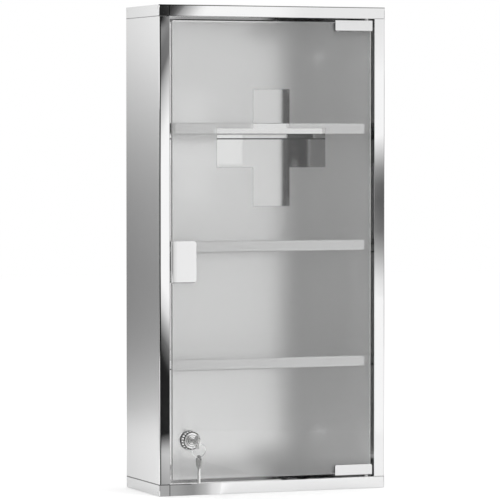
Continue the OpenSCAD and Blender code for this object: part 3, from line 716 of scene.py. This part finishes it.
def makePlain(name, tint, rough, metallic=0.0, speckle=0.06):
    mat, tree, shader = newMaterial(name)
    place, x, y, z = placeOf(tree)
    marks = addGroup(tree, handledGroup, Place=place, Size=420.0, Low=1 - speckle, High=1 + speckle)
    tintBy(tree, shader, tint, marks.outputs["Value"])
    shader.inputs["Roughness"].default_value = rough
    shader.inputs["Metallic"].default_value = metallic
    grit = tree.nodes.new("ShaderNodeTexNoise")
    grit.inputs["Scale"].default_value = 3000
    tree.links.new(place, grit.inputs["Vector"])
    tree.links.new(bumpNormal(tree, grit.outputs["Fac"], 0.00001), shader.inputs["Normal"])
    return mat


turnedFace = {
    "tint": (0.95, 0.95, 0.95),
    "rough": 0.16,
    "rings": 0.00045,
    "anisotropic": 0.8,
    # painted shade and light by radius: keyway, plug, groove, face, rim
    "shadeByRadius": [(0.0, 0.08), (0.0009, 0.08), (0.0015, 0.85), (0.0042, 0.95), (0.0047, 0.3), (0.0051, 0.9),
                 (0.0064, 1.0), (0.0069, 0.25), (0.0075, 0.8), (0.0085, 1.0), (0.0097, 1.0), (0.01, 0.03)],
    "sideways": 0.75,     # painted shade left of and right of the axis, leaving a painted highlight above and below it
    "fan": (0.55, 0.95),  # how upright a spot lies on its ring, where that share ends
    "plainFrom": 0.0071,  # outside this radius the share is at least the next one
    "plainShare": 0.8,
}
# knurl: painted shade on the flanks of the teeth, and painted glints on them
knurl = {"tint": (0.9, 0.9, 0.9), "rough": 0.18, "teeth": 20, "flank": (-0.7, 0.3), "dark": 0.05,
         "light": 1.0, "sparkle": 0.55}


def roundLock(tree, x, z):
    dx = mathNode(tree, "SUBTRACT", x, lockX)
    dz = mathNode(tree, "SUBTRACT", z, lockZ)
    radius = mathNode(tree, "SQRT", mathNode(tree, "ADD", mathNode(tree, "MULTIPLY", dx, dx),
                                             mathNode(tree, "MULTIPLY", dz, dz)))
    return dx, dz, radius


def makeTurnedFace():
    # concentric tool marks round the lock axis, with a painted bow-tie highlight above and below it and
    # painted shade in the keyway, the groove and the rim
    mat, tree, shader = newMaterial("turnedLockFace")
    place, x, y, z = placeOf(tree)
    shader.inputs["Metallic"].default_value = 1.0
    shader.inputs["Anisotropic"].default_value = turnedFace["anisotropic"]
    dx, dz, radius = roundLock(tree, x, z)
    offCentre = mathNode(tree, "ADD", radius, 0.0001)   # never zero, so that it can divide
    upright = mathNode(tree, "ABSOLUTE", mathNode(tree, "DIVIDE", dz, offCentre))
    # painted highlight: a bow-tie of light above and below the axis, with painted shade beside it
    fan = smoothStep(tree, upright, *turnedFace["fan"], turnedFace["sideways"], 1.0)
    outside = mathNode(tree, "GREATER_THAN", radius, turnedFace["plainFrom"])
    fan = mathNode(tree, "MAXIMUM", fan, mathNode(tree, "MULTIPLY", outside, turnedFace["plainShare"]))
    level = mathNode(tree, "MULTIPLY", fan, profile(tree, radius, turnedFace["shadeByRadius"]))
    tintBy(tree, shader, turnedFace["tint"], level)
    wave = mathNode(tree, "SINE", mathNode(tree, "MULTIPLY", radius, 2 * math.pi / turnedFace["rings"]))
    tree.links.new(bumpNormal(tree, wave, 0.00001), shader.inputs["Normal"])
    rough = mathNode(tree, "ADD", mathNode(tree, "MULTIPLY", wave, 0.04), turnedFace["rough"])
    tree.links.new(rough, shader.inputs["Roughness"])
    tangent = tree.nodes.new("ShaderNodeCombineXYZ")   # along the tool marks
    tree.links.new(mathNode(tree, "MULTIPLY", dz, -1.0), tangent.inputs[0])
    tree.links.new(dx, tangent.inputs[2])
    unit = tree.nodes.new("ShaderNodeVectorMath")
    unit.operation = "NORMALIZE"
    tree.links.new(tangent.outputs[0], unit.inputs[0])
    tree.links.new(unit.outputs[0], shader.inputs["Tangent"])
    return mat


def makeKnurl():
    mat, tree, shader = newMaterial("knurledNickel")
    place, x, y, z = placeOf(tree)
    shader.inputs["Metallic"].default_value = 1.0
    dx, dz, radius = roundLock(tree, x, z)
    # painted shade on the flanks of the teeth; the front faces take the painted shade of the turned face
    turn = mathNode(tree, "MULTIPLY", mathNode(tree, "ARCTAN2", dz, dx), float(knurl["teeth"]))
    teeth = smoothStep(tree, mathNode(tree, "SINE", turn), *knurl["flank"], knurl["dark"], knurl["light"])
    ahead = mathNode(tree, "LESS_THAN", facingOf(tree)[1], -0.3)
    teeth = allOf(tree, teeth, inverted(tree, ahead))
    level = mathNode(tree, "MULTIPLY_ADD", ahead, profile(tree, radius, turnedFace["shadeByRadius"]), teeth)
    tintBy(tree, shader, knurl["tint"], level)
    addGlow(tree, shader, mathNode(tree, "MULTIPLY", teeth, knurl["sparkle"]))   # painted glints on the teeth
    grit = addGroup(tree, handledGroup, Place=place, Size=900.0, Low=-0.04, High=0.06)
    tree.links.new(mathNode(tree, "ADD", grit.outputs["Value"], knurl["rough"]), shader.inputs["Roughness"])
    return mat


# the cam plate mirrors the bright side of the frosted layer, so it leans as the back panel does
camPlate = {"tint": (0.93, 0.93, 0.93, 1), "rough": 0.12, "lean": -0.078}


def makeCamPlate(name, glow=0.0):
    mat, tree, shader = newMaterial(name)
    place, x, y, z = placeOf(tree)
    shader.inputs["Base Color"].default_value = camPlate["tint"]
    shader.inputs["Metallic"].default_value = 1.0
    grain = addGroup(tree, grainGroup, Place=place, Across=900.0, Along=60.0, Amount=0.04,
                     Base=camPlate["rough"])
    tree.links.new(grain.outputs["Value"], shader.inputs["Roughness"])
    tree.links.new(leanNormal(tree, camPlate["lean"]), shader.inputs["Normal"])
    shader.inputs["Emission Color"].default_value = (1, 1, 1, 1)
    shader.inputs["Emission Strength"].default_value = glow
    return mat


bodyMat = makeBodySheet()
backMat = makeBackSheet()
shelfMat = makeShelfSheet()
glassMat = makeGlass()
frostMat = makeFrost()
clipMat = makeClip("clipMetal", ("upper_hinge_clip", "lower_hinge_clip"), False)
handleMat = makeClip("handleMetal", ("handle_clip",), True)
zincMat = makeMetal("zincHardware", (0.72, 0.72, 0.72, 1), 0.3)
lockMat = makeTurnedFace()
knurlMat = makeKnurl()
camMat = makeCamPlate("camPlate")
nutMat = makeCamPlate("lockNut", 0.25)   # painted light: a glow for light caught between the nut and the frosted layer
keyMat = makeMetal("keyNickel", (0.88, 0.88, 0.87, 1), 0.18, 0.08, 0.08)
# painted shade: the spare key is the same nickel as the key, given a darker tint
spareShadedMat = makeMetal("spareNickelShaded", (0.5, 0.5, 0.495, 1), 0.24, 0.08, 0.08, paintedFrontLight=0.42)
wireMat = makeMetal("ringWire", (0.85, 0.85, 0.85, 1), 0.15)
rubberMat = makePlain("padRubber", (0.06, 0.06, 0.06), 0.7)
washerMat = makePlain("washerRubber", (0.7, 0.7, 0.7), 0.6)
nylonMat = makePlain("bushNylon", (0.82, 0.82, 0.8), 0.45)
catchMat = makePlain("catchPlastic", (0.84, 0.84, 0.82), 0.4)
magnetMat = makePlain("ferrite", (0.06, 0.06, 0.065), 0.5, 0.3)

finishes = {
    "top_cap": bodyMat, "bottom_cap": bodyMat, "left_side": bodyMat, "right_side": bodyMat,
    "back_panel": backMat, "shelf_top": shelfMat, "shelf_middle": shelfMat, "shelf_bottom": shelfMat,
    "upper_pivot_bush": nylonMat, "lower_pivot_bush": nylonMat, "catch_housing": catchMat,
    "catch_magnet": magnetMat, "catch_pole_plates": zincMat, "catch_rivets": zincMat,
    "door_glass": glassMat, "frosted_layer": frostMat, "upper_hinge_clip": clipMat,
    "lower_hinge_clip": clipMat, "upper_hinge_pads": rubberMat, "lower_hinge_pads": rubberMat,
    "upper_pivot_pin": zincMat, "lower_pivot_pin": zincMat, "hinge_clamp_screws": zincMat,
    "handle_clip": handleMat, "handle_pads": rubberMat, "handle_clamp_screws": zincMat,
    "lock_housing": lockMat, "lock_knurled_ring": knurlMat, "lock_front_washer": washerMat,
    "lock_rear_washer": nylonMat, "lock_nut": nutMat, "lock_plug": lockMat, "lock_cam": camMat,
    "cam_washer": camMat, "cam_screw": camMat, "key": keyMat, "key_ring": wireMat,
    "spare_key": spareShadedMat,
}

# width of the rounding on the edges of these nodes, in metres
edgeRounding = {
    "top_cap": 0.0004, "bottom_cap": 0.0004, "left_side": 0.0003, "right_side": 0.0003,
    "shelf_top": 0.0003, "shelf_middle": 0.0003, "shelf_bottom": 0.0003, "door_glass": 0.0004,
    "upper_hinge_clip": 0.0003, "lower_hinge_clip": 0.0003, "handle_clip": 0.0003,
    "lock_housing": 0.0004, "lock_knurled_ring": 0.0005, "lock_plug": 0.0002, "lock_cam": 0.0003,
    "key": 0.00025, "spare_key": 0.00025, "lock_nut": 0.0003, "catch_housing": 0.0003,
}


rounding = {"weld": 0.000002, "segments": 2, "angle": 40}


def dressNodes():
    for name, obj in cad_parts.items():
        obj.data.materials.clear()
        obj.data.materials.append(finishes[name])
        if name in edgeRounding:
            weld = obj.modifiers.new("weld", "WELD")
            weld.merge_threshold = rounding["weld"]
            bevel = obj.modifiers.new("edges", "BEVEL")
            bevel.width = edgeRounding[name]
            bevel.segments = rounding["segments"]
            bevel.limit_method = "ANGLE"
            bevel.angle_limit = math.radians(rounding["angle"])
            bevel.harden_normals = True


dressNodes()
print("finishes given to", len(finishes), "nodes")


# ---- stage: pale floor, white surroundings, soft lamps and reflection cards

stageLook = {
    "floorSize": 12.0,
    "floorDrop": -0.0005,    # so that the floor never lies in the plane of the foot
    "floorColour": 0.82,
    "floorGlow": 0.3,      # added where the camera sees the floor
    "floorMirrored": 0.14,   # painted light added where metal sees the floor
    "floorBehindGlass": [(0.05, 0.2), (0.08, 0.5), (0.25, 0.45), (0.4, 0.2)],   # painted light where the floor is seen through the door, along X
    "floorRight": [(0.0, 1.0), (0.5, -0.3)],   # share of the painted light where metal sees the floor, along X, fading towards the right
    "worldDiffuse": 0.85,    # of the surroundings, where nothing sees them directly
    "cardSteps": 48,         # facets of a curved card
}


def seenDirectly(tree):
    # 1 for camera, glossy and transmission rays
    path = tree.nodes.new("ShaderNodeLightPath")
    return mathNode(tree, "MAXIMUM", mathNode(tree, "MAXIMUM", path.outputs["Is Camera Ray"],
                                              path.outputs["Is Glossy Ray"]),
                    path.outputs["Is Transmission Ray"])


def newGlowMaterial(name):
    mat = bpy.data.materials.new(name)
    mat.use_nodes = True
    tree = mat.node_tree
    tree.nodes.clear()
    out = tree.nodes.new("ShaderNodeOutputMaterial")
    glow = tree.nodes.new("ShaderNodeEmission")
    tree.links.new(glow.outputs[0], out.inputs["Surface"])
    return mat, tree, out, glow


def addSurface(name, points, faces, mat):
    mesh = bpy.data.meshes.new(name)
    mesh.from_pydata(points, [], faces)
    mesh.materials.append(mat)
    obj = bpy.data.objects.new(name, mesh)
    bpy.context.scene.collection.objects.link(obj)
    return obj


def onlyMirrored(obj):
    obj.visible_camera = False
    obj.visible_diffuse = False
    obj.visible_shadow = False


def addFloor():
    half = stageLook["floorSize"] / 2
    mat, tree, out, glow = newGlowMaterial("floorPaper")
    total = tree.nodes.new("ShaderNodeAddShader")
    diffuse = tree.nodes.new("ShaderNodeBsdfDiffuse")
    diffuse.inputs["Color"].default_value = (stageLook["floorColour"],) * 3 + (1,)
    path = tree.nodes.new("ShaderNodeLightPath")
    place, x, y, z = placeOf(tree)
    # painted light on the floor as metal and glass see it, uneven along X
    mirrored = allOf(tree, path.outputs["Is Glossy Ray"], profile(tree, x, stageLook["floorRight"]),
                     stageLook["floorMirrored"])
    direct = mathNode(tree, "MULTIPLY", path.outputs["Is Camera Ray"], stageLook["floorGlow"])
    behind = mathNode(tree, "MULTIPLY", path.outputs["Is Transmission Ray"],
                      profile(tree, x, stageLook["floorBehindGlass"]))
    strength = mathNode(tree, "ADD", mathNode(tree, "ADD", mirrored, direct), behind)
    tree.links.new(strength, glow.inputs["Strength"])
    tree.links.new(diffuse.outputs[0], total.inputs[0])
    tree.links.new(glow.outputs[0], total.inputs[1])
    tree.links.new(total.outputs[0], out.inputs["Surface"])
    floor = addSurface("floor", [(-half, -half, 0), (half, -half, 0), (half, half, 0), (-half, half, 0)],
                       [(0, 1, 2, 3)], mat)
    floor.location.z = stageLook["floorDrop"]


def addWorld():
    world = bpy.data.worlds.new("studio")
    bpy.context.scene.world = world
    world.use_nodes = True
    tree = world.node_tree
    back = tree.nodes["Background"]
    back.inputs["Color"].default_value = (1, 1, 1, 1)
    strength = smoothStep(tree, seenDirectly(tree), 0.0, 1.0, stageLook["worldDiffuse"], 1.0)
    tree.links.new(strength, back.inputs["Strength"])


# light cards that only metal and glass see. Each has its azimuth from and to in degrees (0 in front,
# positive to the right), its radius, low and high edge in metres, and its brightness along the azimuth
# or the height
cards = {
    "cardFront": {"from": -62, "to": 80, "radius": 0.9, "low": 0.001, "high": 0.75, "along": "azimuth",
                  "glow": [(-62, 0.015), (-10, 0.015), (8, 0.97), (48, 0.96), (58, 0.11), (80, 0.11)],
                  "dimRight": (20, 24), "dimHigh": [(0.53, 0.0), (0.56, -0.07), (0.6, -0.13)]},
    "cardLeftBack": {"from": -178, "to": -120, "radius": 1.1, "low": 0.001, "high": 1.6, "along": "height",
                     "glow": [(0.0, 0.65), (0.11, 0.36), (0.16, 0.315), (0.23, 0.3), (0.34, 0.37),
                              (0.42, 0.485), (0.57, 0.87), (0.61, 0.94)]},
}


def addCard(name, card):
    steps = stageLook["cardSteps"]
    points, faces = [], []
    for i in range(steps + 1):
        angle = math.radians(card["from"] + (card["to"] - card["from"]) * i / steps)
        for height in (card["low"], card["high"]):
            points.append((card["radius"] * math.sin(angle), -card["radius"] * math.cos(angle), height))
    for i in range(steps):
        faces.append((2 * i, 2 * i + 2, 2 * i + 3, 2 * i + 1))
    mat, tree, out, glow = newGlowMaterial(name + "Glow")
    place, x, y, z = placeOf(tree)
    if card["along"] == "azimuth":
        turn = mathNode(tree, "ARCTAN2", x, mathNode(tree, "MULTIPLY", y, -1.0))
        reading = mathNode(tree, "MULTIPLY", turn, 180 / math.pi)
    else:
        reading = z
    level = profile(tree, reading, card["glow"])
    if "dimHigh" in card:
        dim = mathNode(tree, "MULTIPLY", smoothStep(tree, reading, *card["dimRight"]),
                       profile(tree, z, card["dimHigh"]))
        level = mathNode(tree, "MULTIPLY", level, mathNode(tree, "ADD", dim, 1.0))
    tree.links.new(level, glow.inputs["Strength"])
    obj = addSurface(name, points, faces, mat)
    onlyMirrored(obj)


# dark sheets that only metal and glass see: one overhead, and one on the floor in front of the door as
# painted shade there
darkSheets = {
    "sheetOverhead": {"x": (-0.9, 1.1), "y": (-1.3, -0.25), "z": 1.25, "shade": 0.12,
                      "glossy": True, "through": False},
    # painted shade on the floor in front of the door, seen only through the glass
    "sheetFloorShade": {"x": (-0.9, 0.05), "y": (-1.2, -0.25), "z": 0.002, "shade": 0.03,
                 "glossy": False, "through": True},
}


def addDarkSheet(name, sheet):
    (x0, x1), (y0, y1), z = sheet["x"], sheet["y"], sheet["z"]
    mat, tree, out, glow = newGlowMaterial(name + "Shade")
    glow.inputs["Strength"].default_value = sheet["shade"]
    obj = addSurface(name, [(x0, y0, z), (x1, y0, z), (x1, y1, z), (x0, y1, z)], [(0, 1, 2, 3)], mat)
    onlyMirrored(obj)
    obj.visible_glossy = sheet["glossy"]
    obj.visible_transmission = sheet["through"]


softLamps = {
    "lampHigh": {"place": (0.9, -1.6, 2.2), "aim": (0, 0, 0.3), "size": (1.6, 1.6), "power": 18},
    "lampLeft": {"place": (-1.8, -0.8, 1.4), "aim": (0, 0, 0.3), "size": (1.2, 1.2), "power": 8},
    # stands for the light that goes to and fro between the bright walls behind the door
    "lampInside": {"place": (0, 0.05, 0.3), "aim": (0, -1, 0.3), "size": (0.28, 0.58), "power": 1.0},
}


def addLamps():
    for name, lamp in softLamps.items():
        data = bpy.data.lights.new(name, "AREA")
        data.shape = "RECTANGLE"
        data.size, data.size_y = lamp["size"]
        data.energy = lamp["power"]
        obj = bpy.data.objects.new(name, data)
        obj.location = lamp["place"]
        aim = Vector(lamp["aim"]) - obj.location
        obj.rotation_euler = aim.to_track_quat("-Z", "Y").to_euler()
        obj.visible_glossy = False
        obj.visible_transmission = False
        bpy.context.scene.collection.objects.link(obj)


addFloor()
addWorld()
for cardName, cardData in cards.items():
    addCard(cardName, cardData)
for sheetName, sheetData in darkSheets.items():
    addDarkSheet(sheetName, sheetData)
addLamps()
print("stage set with", len(cards), "cards and", len(softLamps), "lamps")
